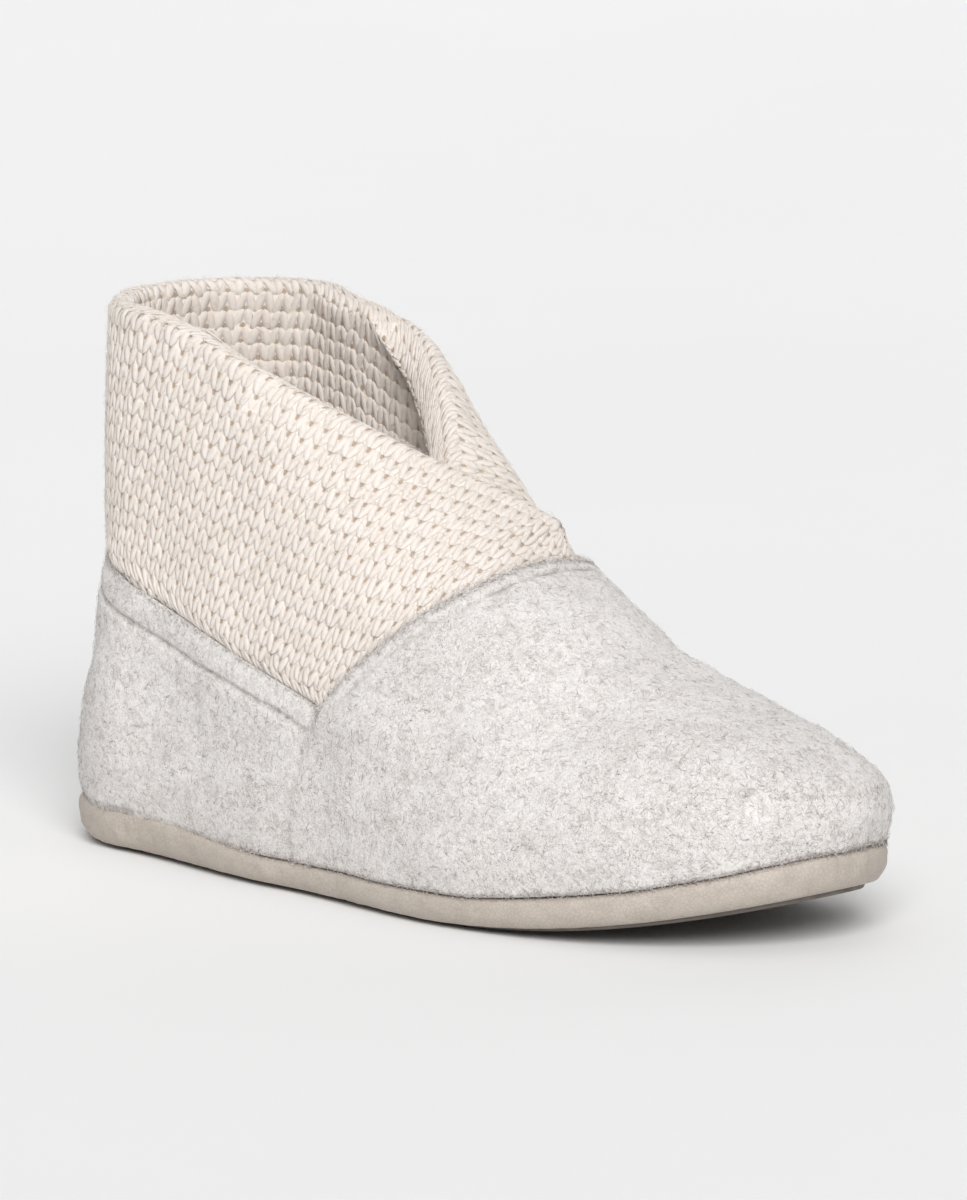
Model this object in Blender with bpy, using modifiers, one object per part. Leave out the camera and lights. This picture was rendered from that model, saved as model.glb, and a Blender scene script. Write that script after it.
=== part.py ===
"""A child's bootie slipper, right shoe: felt lower, knitted wrap-over collar and a thin wrapped sole.

Metres, +Z up, toe towards +X, outer side towards -Y, origin on the floor under the middle of the shoe.
Every surface is read from one form, a stack of closed rings from the sole's top edge up to the collar.
"""

import math
from typing import NamedTuple

import bmesh
import bpy
import numpy as np

# Driving sizes of the form
LENGTH = 0.185
BALL_WIDTH = 0.0725
HEIGHT = 0.108
TOE_SPRING = 0.0118
SPRING_FROM = 0.60  # share of the length where the sole starts to rise
TOE_SWING = 0.0075  # how far the toe turns to the inner side
SWING_FROM = 0.30
HEEL_FULLNESS = 2.0  # powers of the round ends of each ring, 2 is an ellipse
TOE_FULLNESS = 2.1
HEEL_ROUND = 0.92  # length of the round heel end in half widths
OUTER_BALL_SHIFT = -0.02  # the ball sits further back on the outer side, in shares of a ring's length
INNER_BALL_SHIFT = 0.04
INNER_WAIST_CUT = 0.0015  # the arch side is narrower

# Felt lower
FELT = 0.0024
GAP = 0.00035
COUNTER_HEIGHT = 0.0612  # top edge of the counter, its line carried on to x = 0
HEEL_LEVEL_TO = 0.014  # behind this the counter's edge runs level round the heel
NOTCH_X = 0.083
NOTCH_Z = 0.0362
THROAT_X = 0.111
THROAT_Z = 0.063
THROAT_POWER = 0.85  # under 1 the vamp's edge is steep at the notch and flattens on top
COUNTER_HEM = 0.0060  # edge to stitched groove
VAMP_HEM = 0.0030
HEM_BLEND = 0.020  # length over which one hem's depth changes into the other's
GROOVE = 0.00045
HEM_PUFF = 0.00025
SHOULDER = 0.0016  # from the groove down to where the wall is plain again
LIP = 0.0015  # depth of the felt's rounded top edge, thinner than the wall below it
LIP_HEIGHT = 0.0015
EDGE_ROUND = 0.0006

# Knitted collar
KNIT = 0.0054  # two layers and the fold between them
FOLD_TURNS = (35, 90, 145)  # degrees over the fold
SEAM_GAP = 0.0007
KNIT_PRESSED = 0.0024  # where the felt's seam squeezes it
TUCK = 0.007
SWELL_FROM = 0.0010  # height over the felt's edge where the knit starts to come out
SWELL = 0.009  # further height in which it reaches its full form
RIM_HEIGHT = 0.1072
RIM_FALL = 0.047
RIM_LEVEL_TO = 70  # degrees from the heel
OUTER_FALL_POWER = 1.75
INNER_FALL_POWER = 2.7
DIVE_FROM = 108  # degrees from the heel where the inner end starts to slip behind the outer one
WRAP_FROM = 145
WRAP_TO = 360 - WRAP_FROM
PRESSED_ABOVE = 0.45  # share of the lap that still lies inwards above the seam
CLEAR_OF_LAP = 0.001  # over the outer end's fold, where the inner end starts to come out again
EASE_OUT = 0.016
ROLL = 0.0042  # extra thickness of the fold on the inner panel
ROLL_FROM = 60  # degrees from the heel
ROLL_DEPTH = 0.020

# Sole
SIDE_BASE = 0.0009  # lower edge of the wrapped side over the floor
BASE_SPRING = 0.90  # share of the toe spring that the underside follows
OUTSOLE = 0.0018
OUTSOLE_INSET = 0.0036
OUTSOLE_CHAMFER = 0.0005
ARCH_LIFT = 0.0008
ARCH_FROM = 0.24  # shares of the length
ARCH_TO = 0.47
ARCH_BLEND = 0.10
INSOLE = 0.0030
INSOLE_ROUND = 0.0008

# Mesh density
AROUND = 72
UPPER_ROWS = 8
COLLAR_STEPS = 1 + 2 * WRAP_TO * AROUND // 360  # on the felt's own columns
COLLAR_ROWS = 9
STEP = 0.02  # levels or radians, for slopes of the form


class Ring(NamedTuple):
    """A closed section: x in shares of LENGTH, z of HEIGHT, half widths of BALL_WIDTH."""

    back_x: float
    back_z: float
    front_x: float
    front_z: float
    heel: float
    waist: float
    ball: float
    ball_at: float  # share of the ring's own length


RINGS = {
    "feather": Ring(0.003, 0.056, 0.995, 0.065, 0.334, 0.409, 0.483, 0.66),
    "bulge": Ring(0.000, 0.139, 1.000, 0.134, 0.363, 0.414, 0.500, 0.66),
    "side": Ring(0.005, 0.231, 0.978, 0.204, 0.370, 0.411, 0.486, 0.65),
    "toe_top": Ring(0.022, 0.329, 0.916, 0.287, 0.359, 0.400, 0.447, 0.64),
    "vamp": Ring(0.031, 0.431, 0.795, 0.394, 0.354, 0.386, 0.396, 0.62),
    "throat": Ring(0.038, 0.537, 0.649, 0.551, 0.346, 0.372, 0.366, 0.60),
    "instep": Ring(0.038, 0.657, 0.562, 0.657, 0.348, 0.368, 0.360, 0.60),
    "ankle": Ring(0.041, 0.815, 0.492, 0.755, 0.354, 0.366, 0.354, 0.60),
    "rim": Ring(0.046, 0.950, 0.430, 0.860, 0.360, 0.362, 0.354, 0.60),
    "brim": Ring(0.052, 1.100, 0.345, 0.990, 0.362, 0.359, 0.352, 0.60),
}
TOP_LEVEL = len(RINGS) - 1


class SideRow(NamedTuple):
    """A row of the sole's wrapped side: out from the outline, shares of the base and of the side's height."""

    out: float
    base: float
    side: float


SIDE_ROWS = {
    "under": SideRow(-0.0016, 1.0, 0.00),
    "lower_edge": SideRow(-0.0004, 0.9, 0.14),
    "middle": SideRow(0.0004, 0.5, 0.42),
    "fullest": SideRow(0.0006, 0.0, 0.74),
    "shoulder": SideRow(0.0002, -0.4, 0.94),
    "top": SideRow(-0.0006, -0.4, 1.00),
}


class Finish(NamedTuple):
    colour: tuple
    roughness: float


FINISHES = {
    "tread_rubber": Finish((0.42, 0.36, 0.30), 0.75),
    "sole_wrap": Finish((0.56, 0.49, 0.42), 0.55),
    "insole_felt": Finish((0.60, 0.57, 0.53), 0.95),
    "felt": Finish((0.62, 0.60, 0.57), 0.95),
    "knit": Finish((0.80, 0.73, 0.64), 0.95),
}


class Row(NamedTuple):
    """A row of the felt wall: levels round the shoe, how far it stands off the form, and thickness."""

    level: np.ndarray
    out: float
    thick: float


def ease(share):
    """0 to 1 with level ends."""
    share = np.clip(share, 0, 1)
    return share * share * (3 - 2 * share)


def ring_at(level):
    """The table's columns at any level, on a smooth curve through its rows."""
    table = np.array(list(RINGS.values()))
    level = np.clip(level, 0, TOP_LEVEL)
    row = np.minimum(np.floor(level).astype(int), TOP_LEVEL - 1)
    before, here, there, after = (table[np.clip(row + k, 0, TOP_LEVEL)] for k in (-1, 0, 1, 2))
    u = (level - row)[..., None]
    bend = u * (1 - u) * ((1 - u) * (there - before) - u * (after - here)) / 2
    return here + (there - here) * u * u * (3 - 2 * u) + bend


def toe_rise(x):
    share = np.clip((x / LENGTH - SPRING_FROM) / (1 - SPRING_FROM), 0, None)
    return TOE_SPRING * share**2


def half_width(along, length, heel, waist, ball, ball_at):
    """Half width of a ring at a share of its length: round heel, waist, ball and round toe."""
    heel_at = np.clip(HEEL_ROUND * heel / length, 0.05, 0.45)
    waist_at = (heel_at + ball_at) / 2
    back = np.clip(1 - along / heel_at, 0, 1)
    front = np.clip((along - ball_at) / (1 - ball_at), 0, 1)
    middle = heel + (waist - heel) * ease((along - heel_at) / (waist_at - heel_at))
    middle = middle + (ball - waist) * ease((along - waist_at) / (ball_at - waist_at))
    round_heel = (1 - back**HEEL_FULLNESS) ** (1 / HEEL_FULLNESS)
    round_toe = (1 - front**TOE_FULLNESS) ** (1 / TOE_FULLNESS)
    return middle * round_heel * round_toe


def form_point(level, angle):
    """A point of the form. The angle runs from the toe (0) by the outer side to the heel (pi) and on."""
    level, angle = np.broadcast_arrays(np.asarray(level, float), np.asarray(angle, float))
    back_x, back_z, front_x, front_z, heel, waist, ball, ball_at = np.moveaxis(ring_at(level), -1, 0)
    outer = np.sin(angle) > 0
    along = (1 + np.cos(angle)) / 2
    length = (front_x - back_x) * LENGTH
    heel, waist, ball = heel * BALL_WIDTH, waist * BALL_WIDTH, ball * BALL_WIDTH
    waist = np.where(outer, waist, waist - INNER_WAIST_CUT)
    ball_at = ball_at + np.where(outer, OUTER_BALL_SHIFT, INNER_BALL_SHIFT)
    x = back_x * LENGTH + length * along
    swing = TOE_SWING * np.clip((x / LENGTH - SWING_FROM) / (1 - SWING_FROM), 0, None) ** 2
    y = np.where(outer, -1, 1) * half_width(along, length, heel, waist, ball, ball_at) + swing
    z = (back_z + (front_z - back_z) * along) * HEIGHT + toe_rise(x)
    return np.stack([x, y, z], -1)


def climb(level, angle):
    """Metres gained for each level at a place of the form."""
    rise = form_point(level + STEP, angle) - form_point(level - STEP, angle)
    return np.linalg.norm(rise, axis=-1) / (2 * STEP)


def form_normal(level, angle):
    level = np.clip(level, STEP, TOP_LEVEL - STEP)
    up = form_point(level + STEP, angle) - form_point(level - STEP, angle)
    along = form_point(level, angle + STEP) - form_point(level, angle - STEP)
    normal = np.cross(up, along)
    return normal / np.linalg.norm(normal, axis=-1, keepdims=True)


def offset_point(level, angle, out):
    """A point standing off the form, outwards where out is over 0."""
    level, angle, out = np.broadcast_arrays(level, angle, out)
    return form_point(level, angle) + form_normal(level, angle) * out[..., None]


def level_where(angle, reaches):
    """The lowest level at which reaches(points) turns positive, by halving."""
    low = np.zeros_like(angle)
    high = np.full_like(angle, TOP_LEVEL)
    for _ in range(40):
        middle = (low + high) / 2
        over = reaches(form_point(middle, angle)) > 0
        high = np.where(over, middle, high)
        low = np.where(over, low, middle)
    return high


def felt_edge_height(x):
    """Height of the felt's top edge in side view: down the counter to the notch, then up the vamp."""
    from_level = np.maximum(x, HEEL_LEVEL_TO + (x - HEEL_LEVEL_TO) / 4)
    counter = COUNTER_HEIGHT + (NOTCH_Z - COUNTER_HEIGHT) * from_level / NOTCH_X
    share = (x - NOTCH_X) / (THROAT_X - NOTCH_X)
    curved = np.clip(share, 0, 1) ** THROAT_POWER + np.minimum(share, 0) + np.maximum(share - 1, 0)
    vamp = NOTCH_Z + (THROAT_Z - NOTCH_Z) * curved
    return np.maximum(counter, vamp)


def over_felt(point):
    """Distance of a point above the felt's top edge, square to that edge in side view."""
    x = point[..., 0]
    step = 0.0005
    slope = (felt_edge_height(x + step) - felt_edge_height(x - step)) / (2 * step)
    return (point[..., 2] - felt_edge_height(x)) / np.sqrt(1 + slope**2)


def felt_edge_level(angle):
    return level_where(angle, over_felt)


def rim_height(from_heel):
    """Height of the collar's fold: degrees from the heel, over 0 on the outer side, past 180 in the lap."""
    fall = np.clip((np.abs(from_heel) - RIM_LEVEL_TO) / (WRAP_TO - RIM_LEVEL_TO), 0, 1)
    return RIM_HEIGHT - RIM_FALL * fall ** (OUTER_FALL_POWER if from_heel > 0 else INNER_FALL_POWER)


def clear_of_lap(from_heel, height):
    """0 where the outer end lies on the inner one, 1 well above the outer end's fold."""
    lap_top = rim_height(min(360 - abs(from_heel), WRAP_TO)) + CLEAR_OF_LAP
    return ease((height - lap_top) / EASE_OUT)


def rim_level(from_heel):
    angle = np.array([np.pi - math.radians(from_heel)])
    return level_where(angle, lambda point: point[..., 2] - rim_height(from_heel))[0]


def lap_shift(from_heel, pressed, height):
    """How far an end of the collar lies out (over 0) or in, in thicknesses: the outer end laps the inner."""
    turn = ease((abs(from_heel) - WRAP_FROM) / (WRAP_TO - WRAP_FROM))
    if from_heel > 0:
        return (1 - pressed) * turn
    dive = ease((abs(from_heel) - DIVE_FROM) / (WRAP_FROM - DIVE_FROM))
    return -(pressed * dive + (1 - pressed) * turn) * (1 - clear_of_lap(from_heel, height))


def outline(out):
    """The sole's plan outline, moved outwards in plan by out."""
    angle = np.linspace(0, 2 * np.pi, AROUND, endpoint=False)
    point = form_point(0.0, angle)
    along = form_point(0.0, angle + STEP) - form_point(0.0, angle - STEP)
    sideways = np.stack([-along[:, 1], along[:, 0]], -1)
    sideways /= np.linalg.norm(sideways, axis=-1, keepdims=True)
    point[:, :2] += sideways * out
    return point


def sole_ring(out, height, share_of_side):
    """A ring of the sole: height over its underside, plus a share of the side's own height."""
    ring = outline(out)
    base = toe_rise(ring[:, 0]) * BASE_SPRING
    ring[:, 2] = base + height + (ring[:, 2] - base) * share_of_side
    return ring


def material(name):
    finish = FINISHES[name]
    made = bpy.data.materials.new(name)
    made.use_nodes = True
    made.diffuse_color = (*finish.colour, 1)
    shader = made.node_tree.nodes["Principled BSDF"]
    shader.inputs["Base Color"].default_value = (*finish.colour, 1)
    shader.inputs["Roughness"].default_value = finish.roughness
    shader.inputs["Metallic"].default_value = 0
    return made


def add_part(name, mesh_data, collection, finish):
    mesh = bpy.data.meshes.new(name)
    mesh_data.normal_update()
    mesh_data.to_mesh(mesh)
    mesh_data.free()
    mesh.materials.append(material(finish))
    mesh.shade_smooth()
    part = bpy.data.objects.new(name, mesh)
    collection.objects.link(part)
    return part


def bridge(mesh_data, ring, above, closed):
    """Quads between two rows of vertices."""
    count = len(ring)
    for i in range(count if closed else count - 1):
        j = (i + 1) % count
        mesh_data.faces.new((ring[i], above[i], above[j], ring[j]))


def ladder(mesh_data, ring, upwards):
    """Closes a ring with strips across it, from its first vertex to the one half way round."""
    count = len(ring)
    for i in range(count // 2):
        corners = [ring[i], ring[i + 1], ring[count - i - 1], ring[-i]]
        corners = list(dict.fromkeys(corners))
        mesh_data.faces.new(corners[::-1] if upwards else corners)


def loft(rings):
    """A closed body through plan rings, from its lowest ring to its highest."""
    mesh_data = bmesh.new()
    rows = [[mesh_data.verts.new(point) for point in ring] for ring in rings]
    for row, above in zip(rows, rows[1:]):
        bridge(mesh_data, row, above, closed=True)
    ladder(mesh_data, rows[0], upwards=False)
    ladder(mesh_data, rows[-1], upwards=True)
    return mesh_data


def make_outsole(collection):
    """Thin tread sheet, set in from the side, flat under heel and forefoot and lifted at the arch."""
    rings = [
        sole_ring(-OUTSOLE_INSET - OUTSOLE_CHAMFER, 0.0, 0.0),
        sole_ring(-OUTSOLE_INSET, OUTSOLE_CHAMFER, 0.0),
        sole_ring(-OUTSOLE_INSET, OUTSOLE, 0.0),
    ]
    share = rings[0][:, 0] / LENGTH
    arch = ease((share - ARCH_FROM) / ARCH_BLEND) * ease((ARCH_TO - share) / ARCH_BLEND)
    for ring in rings[:2]:
        ring[:, 2] += ARCH_LIFT * arch
    return add_part("outsole", loft(rings), collection, "tread_rubber")


def make_midsole(collection):
    """Platform with a rounded, wrapped side and a shallow pocket underneath that takes the outsole."""
    pocket = OUTSOLE + GAP
    rings = [
        sole_ring(-OUTSOLE_INSET + GAP, pocket, 0.0),
        sole_ring(-OUTSOLE_INSET + GAP, SIDE_BASE, 0.0),
    ]
    rings += [sole_ring(row.out, SIDE_BASE * row.base, row.side) for row in SIDE_ROWS.values()]
    return add_part("midsole", loft(rings), collection, "sole_wrap")


def make_insole(collection):
    inset = -(FELT + 2 * GAP)
    rings = [
        sole_ring(inset, 0.0, 1.0),
        sole_ring(inset, INSOLE - INSOLE_ROUND, 1.0),
        sole_ring(inset - INSOLE_ROUND, INSOLE, 1.0),
    ]
    return add_part("insole", loft(rings), collection, "insole_felt")


def make_upper(collection):
    """Felt wall from the sole's edge to the top edge, with a stitched groove below its turned hem."""
    angle = np.linspace(0, 2 * np.pi, AROUND, endpoint=False)
    top = felt_edge_level(angle)
    per_metre = 1 / climb(top, angle)
    along = form_point(top, angle)[:, 0]
    hem = VAMP_HEM + (COUNTER_HEM - VAMP_HEM) * ease((NOTCH_X - along) / HEM_BLEND + 0.5)
    under_hem = top - (hem + SHOULDER) * per_metre
    rows = [Row(under_hem * share, 0.0, FELT) for share in np.linspace(0, 1, UPPER_ROWS)]
    rows += [
        Row(top - hem * per_metre, -GROOVE, FELT - GROOVE),
        Row(top - hem / 2 * per_metre, HEM_PUFF, FELT + HEM_PUFF),
        Row(top - EDGE_ROUND * per_metre, -EDGE_ROUND / 4, LIP),
        Row(top, -EDGE_ROUND, LIP - EDGE_ROUND),
    ]
    mesh_data = bmesh.new()
    weights = mesh_data.verts.layers.deform.new()
    thickest = FELT + HEM_PUFF
    grid = []
    for row in rows:
        grid.append([mesh_data.verts.new(point) for point in offset_point(row.level, angle, row.out)])
        for vertex in grid[-1]:
            vertex[weights][0] = row.thick / thickest
    for row, above in zip(grid, grid[1:]):
        bridge(mesh_data, row, above, closed=True)
    upper = add_part("upper", mesh_data, collection, "felt")
    upper.vertex_groups.new(name="wall")
    wall = upper.modifiers.new("wall", "SOLIDIFY")
    wall.thickness = thickest
    wall.offset = -1
    wall.use_even_offset = True
    wall.vertex_group = "wall"
    return upper


def collar_section(from_heel):
    """Closed cross-section of the collar at an angle: up the outside, over the fold, down the inside."""
    angle = np.pi - math.radians(from_heel)
    edge = felt_edge_level(np.array([angle]))[0]
    per_metre = 1 / climb(edge, angle)
    foot = edge - TUCK * per_metre
    crest = max(rim_level(from_heel), edge + KNIT * per_metre)
    puff = ROLL * ease((-from_heel - ROLL_FROM) / ROLL_FROM)
    fold = crest - (KNIT + puff) / 2 / climb(crest, angle)
    behind_lip = edge - LIP_HEIGHT * per_metre
    free = np.linspace(edge + SWELL_FROM * per_metre, fold, COLLAR_ROWS - 2)
    level = np.concatenate([[foot, behind_lip], free])

    def skin(level):
        point = form_point(level, angle)
        height = point[:, 2]
        swollen = ease((over_felt(point) - SWELL_FROM) / SWELL)
        thick = KNIT_PRESSED + (KNIT - KNIT_PRESSED) * swollen
        pressed = 1 + (PRESSED_ABOVE - 1) * swollen
        tucked = np.clip((edge - level) / (edge - behind_lip), 0, 1)
        behind_felt = SEAM_GAP + LIP + (FELT - LIP) * tucked
        out = lap_shift(from_heel, pressed, height) * (thick + GAP) - behind_felt * (1 - swollen)
        near_fold = ease((height - rim_height(from_heel)) / ROLL_DEPTH + 1)
        return out, thick + puff * near_fold * clear_of_lap(from_heel, height)

    out, thick = skin(level)
    turn = np.radians(FOLD_TURNS)
    over = level[-1] + thick[-1] / 2 * np.sin(turn) / climb(level[-1], angle)
    across = out[-1] - thick[-1] / 2 * (1 - np.cos(turn))
    levels = np.concatenate([level, over, level[::-1]])
    outs = np.concatenate([out, across, (out - thick)[::-1]])
    return offset_point(levels, angle, outs)


def make_collar(collection):
    """One folded knitted band round the ankle. Its ends lap at the instep, the outer side's end on top."""
    mesh_data = bmesh.new()
    loops = []
    for from_heel in np.linspace(-WRAP_TO, WRAP_TO, COLLAR_STEPS):
        loops.append([mesh_data.verts.new(point) for point in collar_section(from_heel)])
    for loop, onward in zip(loops, loops[1:]):
        bridge(mesh_data, loop, onward, closed=True)
    mesh_data.faces.new(loops[0])
    mesh_data.faces.new(loops[-1][::-1])
    return add_part("knit_collar", mesh_data, collection, "knit")


def stand_over_origin(parts, holder):
    """Parents the parts to the holder, moved so that the middle of their box is over the origin."""
    bpy.context.view_layer.update()
    corners = np.array([corner for part in parts for corner in part.bound_box])
    middle = (corners.min(axis=0) + corners.max(axis=0)) / 2
    for part in parts:
        part.parent = holder
        part.location = (-middle[0], -middle[1], 0)


def main():
    for old in list(bpy.data.objects):
        bpy.data.objects.remove(old)
    collection = bpy.data.collections.new("bootie_slipper")
    bpy.context.scene.collection.children.link(collection)
    holder = bpy.data.objects.new("slipper_origin", None)
    collection.objects.link(holder)
    parts = [make(collection) for make in (make_outsole, make_midsole, make_insole, make_upper, make_collar)]
    stand_over_origin(parts, holder)


main()
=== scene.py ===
import math

import bpy
import numpy as np
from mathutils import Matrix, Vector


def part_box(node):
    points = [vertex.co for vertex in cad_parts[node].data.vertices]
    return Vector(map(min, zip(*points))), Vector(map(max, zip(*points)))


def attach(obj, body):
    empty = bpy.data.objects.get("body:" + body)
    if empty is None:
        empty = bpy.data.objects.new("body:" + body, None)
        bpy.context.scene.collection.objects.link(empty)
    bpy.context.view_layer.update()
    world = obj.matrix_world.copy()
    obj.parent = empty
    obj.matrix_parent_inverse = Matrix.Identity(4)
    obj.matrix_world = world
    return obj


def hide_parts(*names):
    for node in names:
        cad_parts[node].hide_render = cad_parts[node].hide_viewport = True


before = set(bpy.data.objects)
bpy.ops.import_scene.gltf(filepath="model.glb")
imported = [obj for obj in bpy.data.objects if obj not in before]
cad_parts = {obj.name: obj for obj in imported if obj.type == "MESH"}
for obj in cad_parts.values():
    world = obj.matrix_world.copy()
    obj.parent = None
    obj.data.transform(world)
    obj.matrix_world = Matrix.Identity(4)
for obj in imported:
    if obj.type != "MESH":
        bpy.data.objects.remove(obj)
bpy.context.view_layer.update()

bpy.ops.object.select_all(action="DESELECT")
bpy.context.scene.view_settings.view_transform = "Standard"
print("frame loaded:", ", ".join(sorted(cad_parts)))


# The last that felt, knit and sole are pulled over. Metres, or shares of length, height and ball width
last = {
    "length": 0.185,
    "ballWidth": 0.0725,
    "height": 0.108,
    "toeSpring": 0.0118,
    "springFrom": 0.60,
    "toeSwing": 0.0075,
    "swingFrom": 0.30,
    "heelFullness": 2.0,
    "toeFullness": 2.1,
    "heelRound": 0.92,
    "outerBallShift": -0.02,
    "innerBallShift": 0.04, "innerWaistCut": 0.0015,
    "slopeStep": 0.02,
    # back x and z, front x and z, half widths at heel, waist and ball, place of the ball
    "rings": (
        (0.003, 0.056, 0.995, 0.065, 0.334, 0.409, 0.483, 0.66),  # feather edge on the sole
        (0.000, 0.139, 1.000, 0.134, 0.363, 0.414, 0.500, 0.66),  # widest
        (0.005, 0.231, 0.978, 0.204, 0.370, 0.411, 0.486, 0.65),
        (0.022, 0.329, 0.916, 0.287, 0.359, 0.400, 0.447, 0.64),  # top of the toe
        (0.031, 0.431, 0.795, 0.394, 0.354, 0.386, 0.396, 0.62),
        (0.038, 0.537, 0.649, 0.551, 0.346, 0.372, 0.366, 0.60),  # throat
        (0.038, 0.657, 0.562, 0.657, 0.348, 0.368, 0.360, 0.60),
        (0.041, 0.815, 0.492, 0.755, 0.354, 0.366, 0.354, 0.60),  # ankle
        (0.046, 0.950, 0.430, 0.860, 0.360, 0.362, 0.354, 0.60),
        (0.052, 1.100, 0.345, 0.990, 0.362, 0.359, 0.352, 0.60),  # above the collar
    ),
}
ringTable = np.array(last["rings"])
topLevel = len(ringTable) - 1


def ease(share):
    share = np.clip(share, 0, 1)
    return share * share * (3 - 2 * share)


# Rises from 0 to 1 over a zone, given by its start and length
def easeIn(value, zone):
    return ease((value - zone[0]) / zone[1])


def bell(distance, width):
    return np.exp(-((distance / width) ** 2))


def ringAt(level):
    level = np.clip(level, 0, topLevel)
    row = np.minimum(np.floor(level).astype(int), topLevel - 1)
    before, here, there, after = (ringTable[np.clip(row + k, 0, topLevel)] for k in (-1, 0, 1, 2))
    u = (level - row)[..., None]
    bend = u * (1 - u) * ((1 - u) * (there - before) - u * (after - here)) / 2
    return here + (there - here) * u * u * (3 - 2 * u) + bend


def toeRise(x):
    share = np.clip((x / last["length"] - last["springFrom"]) / (1 - last["springFrom"]), 0, None)
    return last["toeSpring"] * share**2


def halfWidth(along, length, heel, waist, ball, ballAt):
    heelAt = np.clip(last["heelRound"] * heel / length, 0.05, 0.45)
    waistAt = (heelAt + ballAt) / 2
    back = np.clip(1 - along / heelAt, 0, 1)
    front = np.clip((along - ballAt) / (1 - ballAt), 0, 1)
    middle = heel + (waist - heel) * ease((along - heelAt) / (waistAt - heelAt))
    middle = middle + (ball - waist) * ease((along - waistAt) / (ballAt - waistAt))
    roundHeel = (1 - back ** last["heelFullness"]) ** (1 / last["heelFullness"])
    roundToe = (1 - front ** last["toeFullness"]) ** (1 / last["toeFullness"])
    return middle * roundHeel * roundToe


# angle 0 is the toe, then the outer side, pi is the heel
def formPoint(level, angle):
    level, angle = np.broadcast_arrays(np.asarray(level, float), np.asarray(angle, float))
    backX, backZ, frontX, frontZ, heel, waist, ball, ballAt = np.moveaxis(ringAt(level), -1, 0)
    outer = np.sin(angle) > 0
    along = (1 + np.cos(angle)) / 2
    length = (frontX - backX) * last["length"]
    heel, waist, ball = (width * last["ballWidth"] for width in (heel, waist, ball))
    waist = np.where(outer, waist, waist - last["innerWaistCut"])
    ballAt = ballAt + np.where(outer, last["outerBallShift"], last["innerBallShift"])
    x = backX * last["length"] + length * along
    turned = np.clip((x / last["length"] - last["swingFrom"]) / (1 - last["swingFrom"]), 0, None)
    y = np.where(outer, -1, 1) * halfWidth(along, length, heel, waist, ball, ballAt)
    y = y + last["toeSwing"] * turned**2
    z = (backZ + (frontZ - backZ) * along) * last["height"] + toeRise(x)
    return np.stack([x, y, z], -1)


def climb(level, angle):
    step = last["slopeStep"]
    rise = formPoint(level + step, angle) - formPoint(level - step, angle)
    return np.linalg.norm(rise, axis=-1) / (2 * step)


def unit(vectors):
    return vectors / np.maximum(np.linalg.norm(vectors, axis=-1, keepdims=True), 1e-12)


def formNormal(level, angle):
    step = last["slopeStep"]
    level = np.clip(level, step, topLevel - step)
    up = formPoint(level + step, angle) - formPoint(level - step, angle)
    along = formPoint(level, angle + step) - formPoint(level, angle - step)
    return unit(np.cross(up, along))


def offsetPoint(level, angle, out):
    level, angle, out = np.broadcast_arrays(level, angle, out)
    return formPoint(level, angle) + formNormal(level, angle) * out[..., None]


def levelWhere(angle, reaches):
    low = np.zeros_like(angle)
    high = np.full_like(angle, topLevel)
    for _ in range(40):
        middle = (low + high) / 2
        past = reaches(formPoint(middle, angle)) > 0
        high = np.where(past, middle, high)
        low = np.where(past, low, middle)
    return high


# Felt lower: vamp and counter with a turned, stitched hem
felt = {
    "thick": 0.0024,
    "counterHeight": 0.0612,
    "heelLevelTo": 0.014,
    "heelSlowed": 4,  # how many times flatter the counter's edge runs round the heel
    "notchX": 0.083, "notchZ": 0.0362,
    "throatX": 0.111, "throatZ": 0.063, "throatPower": 0.85,
    "counterHem": 0.0064,
    "notchHem": 0.0045,
    "hemBlend": 0.05,
    "vampHem": 0.0030,
    "hemSpan": 0.0105, "hemLean": 0.0010,
    "counterGroove": 0.00050,
    "vampGroove": 0.00030,
    "grooveWidth": 0.00045,
    "counterPuff": 0.00045, "counterShoulder": 0.00050,
    "shoulderRise": 0.0014, "shoulderFade": 0.014,
    "vampPuff": 0.00015,
    "lip": 0.0008,
    "lipZone": (0.0012, 0.003),  # under the edge, where the wall thickens
    "plainZone": (0.010, 0.01),  # under the edge, where the inside comes to follow the outside's hollows
    "edgeRound": 0.0006,
    "columns": 480,
    "wallRows": 54,
    "hemRows": 30,
    "edgeRows": 7,
    "innerRows": 30, "innerSpread": 1.3,
    "seamFootX": 0.0765, "seamFootZ": 0.009, "seamBend": 1.6, "seamWander": 0.0004,
    "seamWidth": 0.0016, "seamFade": 0.010, "seamStep": 0.00022, "seamGroove": 0.00025,
    "markPitch": 0.0090,
    "markZone": (0.010, 0.008),  # past the notch
    "markWander": 0.0012,
    "troughX": 0.1345, "troughSkew": 0.12, "troughDepth": 0.0008, "troughWidth": 0.0065,
    "troughZone": (0.026, 0.012),  # in height
    "unevenness": 0.00035,
    "ripple": 0.00010,
    # Crease mask: painted shade and dust along the hem groove, vamp stitch line, side seam and the sole's
    # edge
    "creaseTo": 0.06,  # dark foot of the felt along the sole, in levels
    "heelCrease": 0.36,
    "creaseFade": 0.10, "creaseWidth": 0.0005,
    "hemDustAndShade": 0.7,
    "seamDustAndShade": 0.25,
    "footShadeAndDust": 0.75,
    "heelZone": (0.75, 0.60),  # turned from the heel
}


def counterLine(x):
    slowed = np.maximum(x, felt["heelLevelTo"] + (x - felt["heelLevelTo"]) / felt["heelSlowed"])
    return felt["counterHeight"] + (felt["notchZ"] - felt["counterHeight"]) * slowed / felt["notchX"]


def vampLine(x):
    share = (x - felt["notchX"]) / (felt["throatX"] - felt["notchX"])
    curved = np.clip(share, 0, 1) ** felt["throatPower"] + np.minimum(share, 0) + np.maximum(share - 1, 0)
    return felt["notchZ"] + (felt["throatZ"] - felt["notchZ"]) * curved


def feltEdgeHeight(x):
    return np.maximum(counterLine(x), vampLine(x))


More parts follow.
